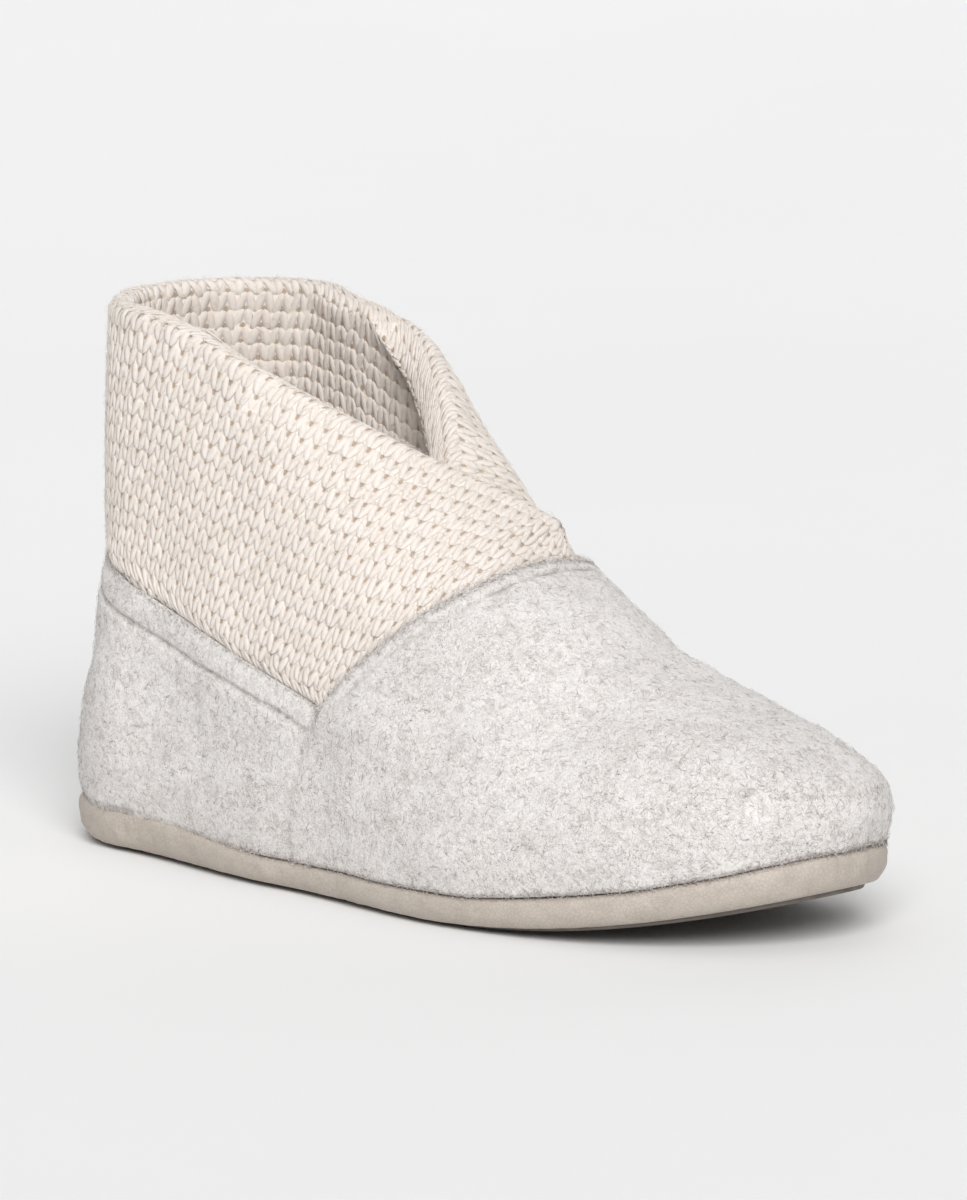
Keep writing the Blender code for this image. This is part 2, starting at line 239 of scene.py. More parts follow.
# Distance over a line of the side view, square to it
def over(line, point):
    x = point[..., 0]
    step = 0.0005
    slope = (line(x + step) - line(x - step)) / (2 * step)
    return (point[..., 2] - line(x)) / np.sqrt(1 + slope**2)


def overFelt(point):
    return over(feltEdgeHeight, point)


def feltEdgeLevel(angle):
    return levelWhere(angle, overFelt)


# Sole: wrapped side, thin tread sheet, insole board
sole = {
    "sideBase": 0.0009,
    "baseSpring": 0.90,
    "treadThick": 0.0018, "treadInset": 0.0036, "treadChamfer": 0.0005,
    "archLift": 0.0008, "archFrom": 0.24, "archTo": 0.47, "archBlend": 0.10,
    "insoleThick": 0.0030,
    "gap": 0.00035,
}


def outline(out, angle):
    step = last["slopeStep"]
    point = formPoint(0.0, angle)
    along = formPoint(0.0, angle + step) - formPoint(0.0, angle - step)
    sideways = unit(np.stack([-along[..., 1], along[..., 0]], -1))
    point[..., :2] += sideways * np.asarray(out)[..., None]
    return point


def soleRing(out, height, shareOfSide, angle):
    ring = outline(out, angle)
    base = toeRise(ring[..., 0]) * sole["baseSpring"]
    ring[..., 2] = base + height + (ring[..., 2] - base) * shareOfSide
    return ring


# The CAD model stands over the middle of its box: the tread sheet's corner gives the way there
cadAngles = np.linspace(0, 2 * np.pi, 72, endpoint=False)  # columns of the solids
treadLow = soleRing(-sole["treadInset"], 0.0, 0.0, cadAngles).min(axis=0)
toFrame = np.array([*(np.array(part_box("outsole")[0]) - treadLow)[:2], 0.0])


# Smooth random waves, the same on every run
def softWaves(points, size, seed):
    waves = np.random.default_rng(seed)
    total = np.zeros(points.shape[:-1])
    for _ in range(14):
        way = unit(waves.normal(size=3)) * 2 * np.pi / (size * waves.uniform(0.7, 1.5))
        total += np.sin(points @ way + waves.uniform(0, 2 * np.pi))
    return total / math.sqrt(7)


def setAll(items, key, values, kind=np.float32):
    items.foreach_set(key, values.astype(kind).ravel())


def setShade(mesh, name, values):
    setAll(mesh.attributes.new(name, "FLOAT", "POINT").data, "value", values)


def pickOnly(piece):
    bpy.ops.object.select_all(action="DESELECT")
    piece.select_set(True)
    bpy.context.view_layer.objects.active = piece


# A flat sheet is added as a grid, then laid over the form point by point
def laySheet(name, points):
    rows, columns = points.shape[:2]
    bpy.ops.object.select_all(action="DESELECT")
    bpy.ops.mesh.primitive_grid_add(x_subdivisions=columns - 1, y_subdivisions=rows - 1, size=1)
    piece = bpy.context.object
    piece.name = piece.data.name = name
    setAll(piece.data.vertices, "co", points + toFrame)
    piece.data.update()
    return piece


def pickOpenEdges():
    bpy.ops.object.mode_set(mode="EDIT")
    bpy.ops.mesh.select_all(action="DESELECT")
    bpy.ops.mesh.select_mode(type="EDGE")
    bpy.ops.mesh.select_non_manifold(extend=False)


# Turns all faces outwards and leaves edit mode
def faceOut():
    bpy.ops.mesh.select_all(action="SELECT")
    bpy.ops.mesh.normals_make_consistent(inside=False)
    bpy.ops.object.mode_set(mode="OBJECT")


sewReach = 0.00002


# Sews edges that meet
def sew(piece):
    pickOnly(piece)
    bpy.ops.object.mode_set(mode="EDIT")
    bpy.ops.mesh.select_all(action="SELECT")
    bpy.ops.mesh.remove_doubles(threshold=sewReach)
    bpy.ops.mesh.dissolve_degenerate(threshold=sewReach / 4)
    faceOut()
    bpy.ops.object.shade_smooth()


def capEnds(piece):
    pickOnly(piece)
    pickOpenEdges()
    bpy.ops.mesh.fill_holes(sides=0)
    faceOut()


# One small mesh copied to many places and joined: spots is (copies, its vertices, 3)
def joinCopies(name, shape, spots, tone=None):
    copies, count = spots.shape[:2]
    mesh = bpy.data.meshes.new(name)
    mesh.vertices.add(copies * count)
    setAll(mesh.vertices, "co", spots + toFrame)
    loops = np.concatenate(shape["faces"])
    starts = np.cumsum([0] + [len(face) for face in shape["faces"]])[:-1]
    step = np.arange(copies)[:, None]
    mesh.loops.add(copies * len(loops))
    setAll(mesh.loops, "vertex_index", loops + step * count, np.int32)
    mesh.polygons.add(copies * len(starts))
    setAll(mesh.polygons, "loop_start", starts + step * len(loops), np.int32)
    if "uv" in shape:
        setAll(mesh.uv_layers.new(name="yarn").data, "uv", np.tile(shape["uv"].ravel(), copies))
    if tone is not None:
        setShade(mesh, "tone", np.repeat(tone, count))
    mesh.update(calc_edges=True)
    mesh.validate()
    mesh.shade_smooth()
    piece = bpy.data.objects.new(name, mesh)
    bpy.context.scene.collection.objects.link(piece)
    return piece


# A ball is added, read as a template for yarn or thread, and taken away again
def ballShape(segments, rings):
    bpy.ops.object.select_all(action="DESELECT")
    bpy.ops.mesh.primitive_uv_sphere_add(segments=segments, ring_count=rings, radius=1)
    ball = bpy.context.object
    shape = {
        "points": np.array([vertex.co for vertex in ball.data.vertices]),
        "faces": [np.array(face.vertices) for face in ball.data.polygons],
        "uv": np.array([loop.uv for loop in ball.data.uv_layers[0].data]),
    }
    bpy.data.objects.remove(ball)
    return shape


# Materials
making = {}  # the material in hand and its node tree


def newMaterial(name):
    material = bpy.data.materials.new(name)
    material.use_nodes = True
    making.update(material=material, tree=material.node_tree)
    return node("ShaderNodeTexCoord").outputs["Object"]


def link(source, socket):
    making["tree"].links.new(source, socket)


def node(kind, links=(), **values):
    made = making["tree"].nodes.new(kind)
    for key, value in values.items():
        if key in made.inputs:
            made.inputs[key].default_value = value
        else:
            setattr(made, key, value)
    for socket, source in dict(links).items():
        link(source, made.inputs[socket])
    return made


def ramp(source, *stops):
    made = node("ShaderNodeValToRGB", {"Fac": source})
    elements = made.color_ramp.elements
    while len(elements) < len(stops):
        elements.new(0.5)
    for element, (place, colour) in zip(elements, stops):
        element.position = place
        element.color = (*colour, 1)
    return made.outputs["Color"]


# A ramp of greys, for shares and roughness
def fade(source, *stops):
    return ramp(source, *((place, (value,) * 3) for place, value in stops))


def mixColour(factor, first, second, kind="MIX"):
    made = node("ShaderNodeMix", data_type="RGBA", blend_type=kind)
    if isinstance(factor, float):
        made.inputs[0].default_value = factor
    else:
        link(factor, made.inputs[0])
    for slot, value in ((6, first), (7, second)):
        if isinstance(value, tuple):
            made.inputs[slot].default_value = (*value, 1)
        else:
            link(value, made.inputs[slot])
    return made.outputs[2]


def noise(place, scale, detail=4.0, rough=0.55, twist=0.0):
    values = {"Scale": scale, "Detail": detail, "Roughness": rough, "Distortion": twist}
    return node("ShaderNodeTexNoise", {"Vector": place}, **values).outputs["Fac"]


def bump(height, strength, distance, under=None):
    made = node("ShaderNodeBump", {"Height": height}, Strength=strength, Distance=distance)
    if under is not None:
        link(under, made.inputs["Normal"])
    return made.outputs["Normal"]


def vertexShade(name, output):
    return node("ShaderNodeAttribute", attribute_name=name).outputs[output]


def finishLook(base, rough, normal, settings):
    shader = making["tree"].nodes["Principled BSDF"]
    for socket, source in (("Base Color", base), ("Roughness", rough), ("Normal", normal)):
        if source is not None:
            link(source, shader.inputs[socket])
    for socket, value in settings.items():
        shader.inputs[socket].default_value = value
    return making["material"]


feltLook = {
    "light": (0.89, 0.862, 0.84),
    "middle": (0.765, 0.733, 0.707),
    "dark": (0.50, 0.458, 0.43),
    "fleck": (0.20, 0.16, 0.143),
    "brown": (0.33, 0.255, 0.22),
    "white": (0.90, 0.888, 0.872),
    # colour of the painted shade and dust in the creases
    "crease": (0.25, 0.21, 0.18),
    "patch": (75.0, 3.0, 0.6, 0.4),  # noises, here and below: scale, detail, roughness, twist
    "mottle": (290.0, 6.0, 0.65, 1.6),
    "grain": (1500.0, 6.0, 0.75, 1.2),
    "speck": (2500.0, 3.0, 0.6, 2.2),
    "pale": (1650.0, 4.0, 0.65, 3.0),
    "stroke": 330.0,
    "strokes": ((1.0, "brown", 0.55), (1.35, "fleck", 0.4), (0.8, "white", 0.6)),  # size, colour, amount
    "shader": {"Sheen Weight": 0.25, "Sheen Roughness": 0.6, "Specular IOR Level": 0.15},
}


def feltMaterial(name, look, tint=1.0):
    place = newMaterial(name)
    names = ("light", "middle", "dark", "fleck", "brown", "white", "crease")
    colour = {key: tuple(v * tint for v in look[key]) for key in names}
    noises = (noise(place, *look[key]) for key in ("patch", "mottle", "grain", "speck", "pale"))
    patch, mottle, grain, speck, pale = noises
    base = ramp(grain, (0.30, colour["dark"]), (0.45, colour["middle"]), (0.60, colour["light"]))
    base = mixColour(fade(mottle, (0.36, 0.50), (0.50, 0.0)), base, colour["dark"])
    base = mixColour(fade(patch, (0.36, 0.16), (0.56, 0.0)), base, colour["dark"])
    dense = fade(patch, (0.36, 1.0), (0.60, 0.40))
    flecks = mixColour(1.0, fade(speck, (0.56, 0.0), (0.66, 1.0)), dense, "MULTIPLY")
    base = mixColour(flecks, base, colour["fleck"])
    base = mixColour(fade(pale, (0.55, 0.0), (0.66, 0.60)), base, colour["white"])
    # thin curled fibres: where a slow noise crosses its middle, broken up by another
    for size, key, amount in look["strokes"]:
        curl = noise(place, look["stroke"] * size, 1.0, 0.5, 1.4)
        broken = noise(place, look["stroke"] * size * 1.25, 1.0, 0.5, 0.5)
        broken = fade(broken, (0.52, 0.0), (0.60, amount))
        strokes = fade(curl, (0.475, 0.0), (0.50, 1.0), (0.525, 0.0))
        base = mixColour(mixColour(1.0, strokes, broken, "MULTIPLY"), base, colour[key])
    # painted shade and dust along the creases, broken up by the mottle
    patchiness = fade(mottle, (0.36, 1.0), (0.60, 0.35))
    shadeAndDust = mixColour(1.0, vertexShade("crease", "Color"), patchiness, "MULTIPLY")
    base = mixColour(shadeAndDust, base, colour["crease"])
    normal = bump(grain, 0.55, 0.0005, bump(mottle, 0.35, 0.0008))
    return finishLook(base, fade(mottle, (0.3, 0.86), (0.7, 1.0)), normal, look["shader"])


def fibreMaterial(name, dark, pale, grainSize=700.0):
    place = newMaterial(name)
    between = tuple((a + b) / 2 for a, b in zip(dark, pale))
    shade = ramp(vertexShade("tone", "Fac"), (0.0, dark), (0.35, between), (0.7, pale))
    grain = noise(place, grainSize, 2.0)
    shade = mixColour(fade(grain, (0.4, 0.25), (0.6, 0.0)), shade, dark)
    rough = fade(grain, (0.3, 0.75), (0.7, 0.95))
    return finishLook(shade, rough, None, {"Specular IOR Level": 0.2})


# Twisted plies, running aslant along a strand
def plyWave(turn, size, scale, wander, detail):
    uv = node("ShaderNodeUVMap", uv_map="yarn").outputs["UV"]
    turned = node("ShaderNodeMapping", {"Vector": uv}, Rotation=(0, 0, turn), Scale=(size, size, 1.0))
    values = {"Scale": scale, "Distortion": wander, "Detail": detail}
    return node("ShaderNodeTexWave", {"Vector": turned.outputs["Vector"]}, **values).outputs["Fac"]


knitLook = {
    "yarn": (0.91, 0.84, 0.778),
    "shade": (0.87, 0.788, 0.715),
    "lit": (0.93, 0.87, 0.81),
    # painted shade seen through the hole of each stitch
    "hole": (0.47, 0.365, 0.28),
    "holeAt": (0.0, 0.62, 0.0),  # brings the hole of a stitch to the middle of its wale and course
    "holeMiddle": (0.5, 0.5, 0.0),
    "holeSize": (3.8, 3.14, 0.0),  # a wale and a course in mm
    "twist": 5.0,
    "cloud": (140.0, 4.0, 0.6),
    "fine": (1500.0, 4.0, 0.65, 1.5),
    "between": (500.0, 5.0, 0.6),
    "shader": {"Sheen Weight": 0.3, "Sheen Roughness": 0.5, "Specular IOR Level": 0.15},
}


def yarnMaterial(name, look):
    place = newMaterial(name)
    ply = plyWave(0.7, 3.0, look["twist"], 1.6, 3.0)
    cloud = noise(place, *look["cloud"])
    fine = noise(place, *look["fine"])
    base = ramp(cloud, (0.34, look["shade"]), (0.56, look["yarn"]))
    tone = fade(vertexShade("tone", "Fac"), (0.15, 0.55), (0.6, 0.0))
    base = mixColour(tone, base, look["shade"])
    base = mixColour(fade(ply, (0.0, 0.30), (0.45, 0.0)), base, look["shade"])
    base = mixColour(fade(fine, (0.60, 0.0), (0.75, 0.5)), base, look["lit"])
    normal = bump(fine, 0.4, 0.0003, bump(ply, 0.35, 0.0003))
    return finishLook(base, fade(fine, (0.3, 0.82), (0.7, 0.98)), normal, look["shader"])


# Yarn seen between the legs of the stitches, with a dark spot of painted shade in the hole of each
def backingMaterial(name, look):
    place = newMaterial(name)
    cloud = noise(place, *look["between"])
    spot = node("ShaderNodeUVMap", uv_map="stitches").outputs["UV"]
    steps = {"ADD": "holeAt", "FRACTION": None, "SUBTRACT": "holeMiddle", "MULTIPLY": "holeSize"}
    for operation, key in steps.items():
        made = node("ShaderNodeVectorMath", {0: spot}, operation=operation)
        if key:
            made.inputs[1].default_value = look[key]
        spot = made.outputs[0]
    away = node("ShaderNodeVectorMath", {0: spot}, operation="LENGTH").outputs["Value"]
    base = ramp(cloud, (0.35, look["shade"]), (0.65, look["yarn"]))
    # painted shade: a dark spot round each stitch's hole
    base = mixColour(fade(away, (0.42, 1.0), (0.75, 0.0)), base, look["hole"])
    rough = fade(cloud, (0.3, 0.9), (0.7, 1.0))
    return finishLook(base, rough, bump(cloud, 0.5, 0.0005), {"Specular IOR Level": 0.1})


wrapLook = {
    "pale": (0.525, 0.47, 0.415),
    "deep": (0.468, 0.414, 0.362),
    "pore": (0.33, 0.28, 0.235),
    "grain": 1250.0,
    "cloud": (160.0, 5.0, 0.62, 0.5),
    "rub": (900.0, 5.0, 0.6, 1.0),
}


def wrapMaterial(name, look):
    place = newMaterial(name)
    values = {"Scale": look["grain"], "feature": "DISTANCE_TO_EDGE"}
    cells = node("ShaderNodeTexVoronoi", {"Vector": place}, **values).outputs["Distance"]
    cloud = noise(place, *look["cloud"])
    rub = noise(place, *look["rub"])
    base = ramp(cloud, (0.32, look["deep"]), (0.62, look["pale"]))
    base = mixColour(fade(cells, (0.0, 0.45), (0.10, 0.0)), base, look["pore"])
    grain = bump(fade(cells, (0.0, 0.0), (0.16, 1.0)), 0.25, 0.0002)
    normal = bump(rub, 0.25, 0.0003, grain)
    return finishLook(base, fade(rub, (0.3, 0.46), (0.7, 0.66)), normal, {"Specular IOR Level": 0.35})


# Tread colours far darker than the rubber itself: the rubber's own dark tone plus painted shadow under the
# sole
treadShadowLook = {
    "pale": (0.22, 0.19, 0.165),
    "deep": (0.14, 0.12, 0.105),
    "cloud": (240.0, 5.0, 0.6),
    "speck": (1800.0, 3.0, 0.6),
}


def treadMaterial(name, look):
    place = newMaterial(name)
    cloud = noise(place, *look["cloud"])
    speck = noise(place, *look["speck"])
    base = ramp(cloud, (0.35, look["deep"]), (0.65, look["pale"]))
    return finishLook(base, fade(speck, (0.3, 0.68), (0.7, 0.85)), bump(speck, 0.35, 0.0003), {})


threadLook = {"pale": (0.52, 0.47, 0.42), "deep": (0.27, 0.235, 0.205), "twist": 3.0}


def threadMaterial(name, look):
    newMaterial(name)
    ply = plyWave(0.8, 2.0, look["twist"], 0.8, 2.0)
    base = ramp(ply, (0.2, look["deep"]), (0.7, look["pale"]))
    return finishLook(base, fade(ply, (0.2, 0.9), (0.8, 0.7)), bump(ply, 0.4, 0.0002), {})


def dress(piece, material, slotName, *nodes):
    piece.data.materials.append(material)
    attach(piece, "root")
    if nodes:
        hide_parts(*nodes)
    print(piece.name + ":", len(piece.data.polygons), "faces")


# Back edge of the vamp, lying over the counter from the notch down to the sole
def sideSeamX(z):
    share = np.clip((z - felt["seamFootZ"]) / (felt["notchZ"] - felt["seamFootZ"]), 0, 1)
    return felt["seamFootX"] + (felt["notchX"] - felt["seamFootX"]) * share ** felt["seamBend"]


# 1 on every second stretch of the vamp's stitch line, where the thread lies on top
def stitchMark(point):
    x, y = point[..., 0], point[..., 1]
    run = x * 0.8 + np.abs(y) + felt["markWander"] * np.sin(y * 240)
    shown = easeIn(x - felt["notchX"], felt["markZone"])
    return ease(1.6 * np.sin(run * 2 * np.pi / felt["markPitch"]) + 0.4) * shown


def counterHem(x):
    deeper = felt["counterHem"] - felt["notchHem"]
    return felt["notchHem"] + deeper * ease((felt["notchX"] - x) / felt["hemBlend"])


def fromSideSeam(point):
    return point[..., 0] - sideSeamX(point[..., 2]) + felt["seamWander"] * softWaves(point, 0.012, 3)


def vampShare(point):
    return ease(fromSideSeam(point) / felt["seamWidth"] + 0.5)


# How far the turned hem of the counter leans in towards the knit
def hemLean(point):
    up = np.clip(1 + over(counterLine, point) / counterHem(point[..., 0]), 0, 1)
    return felt["hemLean"] * up * (1 - vampShare(point))


# Felt relief: rolled counter hem over its groove, vamp edge lapped on it, hollow behind the toe
def feltRelief(point, depth):
    x, y, z = np.moveaxis(point, -1, 0)
    underCounter, underVamp = -over(counterLine, point), -over(vampLine, point)
    fromSeam, vamp, hem = fromSideSeam(point), vampShare(point), counterHem(x)
    roll = felt["counterPuff"] * np.sin(np.pi * np.clip(underCounter / hem, 0, 1))
    past = underCounter - hem
    uneven = 0.8 + 0.2 * softWaves(point, 0.007, 4)
    groove = felt["counterGroove"] * uneven * bell(past, felt["grooveWidth"])
    beyond = np.maximum(past - felt["shoulderRise"], 0)
    shoulder = felt["counterShoulder"] * ease(past / felt["shoulderRise"])
    shoulder = shoulder * bell(beyond, felt["shoulderFade"])
    counter = (roll - groove + shoulder) * ease((felt["notchX"] - x) / 0.008)
    lift = felt["seamStep"] * bell(np.maximum(fromSeam, 0), felt["seamFade"])
    drawn = felt["vampGroove"] * (0.45 + 0.75 * stitchMark(point))
    stitched = drawn * bell(underVamp - felt["vampHem"], felt["grooveWidth"])
    edge = felt["vampPuff"] * np.sin(np.pi * np.clip(underVamp / felt["vampHem"], 0, 1))
    shown = ease((felt["notchX"] + 0.03 - x) / 0.02)
    seam = felt["seamGroove"] * bell(fromSeam + 0.0006, 0.0009) * shown
    across = x + felt["troughSkew"] * y - felt["troughX"]
    upper = easeIn(z, felt["troughZone"])
    trough = felt["troughDepth"] * bell(across, felt["troughWidth"]) * upper
    waves = felt["unevenness"] * softWaves(point, 0.030, 5) * ease(depth / 0.012)
    waves = waves + felt["ripple"] * softWaves(point, 0.0085, 6)
    plain = counter * (1 - vamp) + (lift * shown + edge - stitched) * vamp - seam - trough + waves
    return plain - hemLean(point)


# 1 round the heel, where the sole's strip is drawn up
def heelShare(angle):
    fromHeel = np.abs(np.mod(angle, 2 * np.pi) - np.pi)
    return 1 - easeIn(fromHeel, felt["heelZone"])


# 0 to 1 where dust and painted shade sit: hem groove, vamp stitch line, side seam, and the sole's edge under
#                                          the felt's overhang
def feltCrease(point, level, angle):
    x = point[..., 0]
    vamp, width = vampShare(point), felt["creaseWidth"]
    hem = bell(-over(counterLine, point) - counterHem(x), width) * (1 - vamp) * felt["hemDustAndShade"]
    line = bell(-over(vampLine, point) - felt["vampHem"], width) * vamp * (0.35 + 0.5 * stitchMark(point))
    line = line * ease((x - felt["notchX"]) / 0.012)
    side = bell(fromSideSeam(point) + width, 0.0006) * ease((felt["notchX"] + 0.01 - x) / 0.006)
    footTop = felt["creaseTo"] + felt["heelCrease"] * heelShare(angle)
    foot = felt["footShadeAndDust"] * (1 - ease((level - footTop) / felt["creaseFade"]))
    return np.clip(np.maximum.reduce([hem, line, side * felt["seamDustAndShade"], foot]), 0, 1)


def roundAngles(columns):
    angle = np.linspace(0, 2 * np.pi, columns + 1)
    angle[-1] = 0.0
    return angle


def makeFelt():
    angle = roundAngles(felt["columns"])
    top = feltEdgeLevel(angle)
    perMetre = 1 / climb(top, angle)
    below = felt["edgeRound"] * perMetre
    under = felt["hemSpan"] * perMetre

    def relief(level):
        return feltRelief(formPoint(level, angle), (top - level) / perMetre)

    shares = np.linspace(0, 1, felt["wallRows"], endpoint=False)
    outer = [(top - under) * share for share in shares]
    shares = np.linspace(1, 0, felt["hemRows"], endpoint=False)
    outer += [top - below - (under - below) * share for share in shares]
    rows = [offsetPoint(level, angle, relief(level)) for level in outer]
    crease = [feltCrease(formPoint(level, angle), level, angle) for level in outer]
    edgeOut = relief(top - below)
    for turn in np.linspace(0, np.pi, felt["edgeRows"]):
        level = top - below * (1 - np.sin(turn))
        rows.append(offsetPoint(level, angle, edgeOut - felt["lip"] / 2 * (1 - np.cos(turn))))
    for share in np.linspace(0, 1, felt["innerRows"])[1:] ** felt["innerSpread"]:
        level = (top - below) * (1 - share)
        depth = (top - level) / perMetre
        wall = felt["lip"] + (felt["thick"] - felt["lip"]) * easeIn(depth, felt["lipZone"])
        lean = hemLean(formPoint(level, angle))
        hollow = np.minimum(relief(level), 0.0) * easeIn(depth, felt["plainZone"])
        rows.append(offsetPoint(level, angle, hollow - wall - lean))
    rows.append(rows[0])
    piece = laySheet("felt_lower", np.stack(rows))
    shade = np.zeros((len(rows), len(angle)))
    shade[: len(crease)] = np.stack(crease)
    setShade(piece.data, "crease", shade)
    sew(piece)
    dress(piece, feltMaterial("flecked_felt", feltLook), "felt", "upper")
    return angle, top, perMetre


# Fine wool standing off the felt: pointed bent hairs, each a closed sliver
hair = {"faces": [np.array(f) for f in ((0, 1, 2), (0, 2, 3), (0, 3, 1), (4, 2, 1), (4, 3, 2), (4, 1, 3))]}


def hairSpots(fuzz, draw, root, normal, shorter, lift):
    count = len(root)
    length = draw.uniform(fuzz["short"], fuzz["long"], count) * shorter
    width = fuzz["width"] * draw.uniform(0.7, 1.3, count)
    draw = np.random.default_rng(fuzz["bendSeed"])
    side = unit(np.cross(normal, draw.normal(size=(count, 3))))
    other = np.cross(normal, side)
    rise = (lift * draw.uniform(0.2, 1.0, count))[:, None]
    first = unit(side + normal * rise)
    bend = other * draw.uniform(-1.3, 1.3, (count, 1))
    second = unit(side + bend + normal * (rise - draw.uniform(0.1, 0.7, (count, 1))))
    middle = root + first * (length * 0.5)[:, None]
    tip = middle + second * (length * 0.5)[:, None]
    across = unit(np.cross(first, normal)) * (width / 2)[:, None]
    above = unit(np.cross(first, across)) * (width / 2)[:, None]
    return np.stack([root, middle + above, middle - above / 2 + across, middle - above / 2 - across, tip], 1)


feltFuzz = {
    "seed": 11, "bendSeed": 12,
    "hairs": 22500,
    "edgeHairs": 8500,  # more along the top edge and the sole
    "atTop": 0.55,
    "topDepth": 0.0010,
    "footLevel": 0.14,
    "rootDepth": 0.00008,
    "long": 0.0028,
    "short": 0.0008,
    "edgeShorter": 0.7,
    "lift": 0.42,
    "edgeLift": 0.8,
    "width": 0.000075,
    "dark": 0.25,
    # dark hairs this many times more common along the sole: real dark fibres plus painted shade of the
    # felt's overhang
    "footDarker": 2.2,
    "colours": ((0.30, 0.245, 0.215), (0.87, 0.845, 0.82)),
}


def makeFeltFuzz(angle, top, perMetre):
    draw = np.random.default_rng(feltFuzz["seed"])
    total = feltFuzz["hairs"] + feltFuzz["edgeHairs"]
    pick = draw.uniform(0, 2 * np.pi, total)
    topHere = np.interp(pick, angle[:-1], top[:-1], period=2 * np.pi)
    slope = np.interp(pick, angle[:-1], perMetre[:-1], period=2 * np.pi)
    level = topHere * draw.uniform(0, 1, total)
    edge = np.arange(total) >= feltFuzz["hairs"]
    atTop = draw.uniform(0, 1, total) < feltFuzz["atTop"]
    level = np.where(edge & atTop, topHere - draw.uniform(0.0, feltFuzz["topDepth"], total) * slope, level)
    atFoot = edge & ~atTop
    level = np.where(atFoot, draw.uniform(0.0, feltFuzz["footLevel"], total), level)
    out = feltRelief(formPoint(level, pick), (topHere - level) / slope)
    root = offsetPoint(level, pick, out - feltFuzz["rootDepth"])
    normal = formNormal(level, pick)
    shorter = np.where(edge, feltFuzz["edgeShorter"], 1.0)
    lift = np.where(edge, feltFuzz["edgeLift"], feltFuzz["lift"])
    spots = hairSpots(feltFuzz, draw, root, normal, shorter, lift)
    isDark = draw.uniform(0, 1, total) < np.where(atFoot, feltFuzz["footDarker"], 1.0) * feltFuzz["dark"]
    tone = np.where(isDark, draw.uniform(0, 0.3, total), draw.uniform(0.6, 1, total))
    piece = joinCopies("felt_fuzz", hair, spots, tone)
    dress(piece, fibreMaterial("felt_hairs", *feltFuzz["colours"]), "felt")


# Knitted collar: one folded band wound round the ankle, its outer end lapping the inner one
band = {
    "thick": 0.0054,
    "seamGap": 0.0001,
    "pressed": 0.0024,
    "tuck": 0.007,
    "lipHeight": 0.0015,
    "swellFrom": -0.0028, "swell": 0.0056,
    "frontZone": (0.102, 0.008),  # over the throat the knit comes up more slowly
    "frontSwell": 0.0070,
    "rimHeight": 0.1072, "rimFall": 0.047, "rimLevelTo": 70,
    "outerFallPower": 1.75,
    "innerFallPower": 2.7,
    "diveFrom": 126,
    "wrapFrom": 145, "wrapTo": 215,
    "pressedAbove": 0.45,
    "clearOfLap": 0.001,
    "easeOut": 0.016,
    "sag": 0.0020,  # how the inner rim rounds off before it falls
    "sagZone": (82, 20), "sagFade": (105, 60),
    "fill": 0.0010,  # and is kept from denting in
    "fillAt": 93, "fillSpan": 10,
    "roll": 0.0042, "rollZone": (60, 60), "rollDepth": 0.020,
    "reach": 0.034,
    "lowest": 0.05,  # in levels
    "columns": 431,
    "near": 70,  # columns searched for the nearest point of the fold
    "sideSteps": 80,
    "foldTurns": (8, 180, 8.2),  # degrees over the fold
    "depths": (-0.080, 0.0905, 0.0005),
}


def rimHeight(fromHeel):
    fall = np.clip((np.abs(fromHeel) - band["rimLevelTo"]) / (band["wrapTo"] - band["rimLevelTo"]), 0, 1)
    power = band["outerFallPower"] if fromHeel > 0 else band["innerFallPower"]
    height = band["rimHeight"] - band["rimFall"] * fall**power
    if fromHeel > 0:
        return height
    sag = easeIn(-fromHeel, band["sagZone"]) * (1 - easeIn(-fromHeel, band["sagFade"]))
    return height - band["sag"] * sag


def clearOfLap(fromHeel, height):
    lapTop = rimHeight(min(360 - abs(fromHeel), band["wrapTo"])) + band["clearOfLap"]
    return ease((height - lapTop) / band["easeOut"])


def lapShift(fromHeel, pressed, height):
    turn = ease((abs(fromHeel) - band["wrapFrom"]) / (band["wrapTo"] - band["wrapFrom"]))
    if fromHeel > 0:
        return (1 - pressed) * turn
    dive = ease((abs(fromHeel) - band["diveFrom"]) / (band["wrapFrom"] - band["diveFrom"]))
    return -(pressed * dive + (1 - pressed) * turn) * (1 - clearOfLap(fromHeel, height))


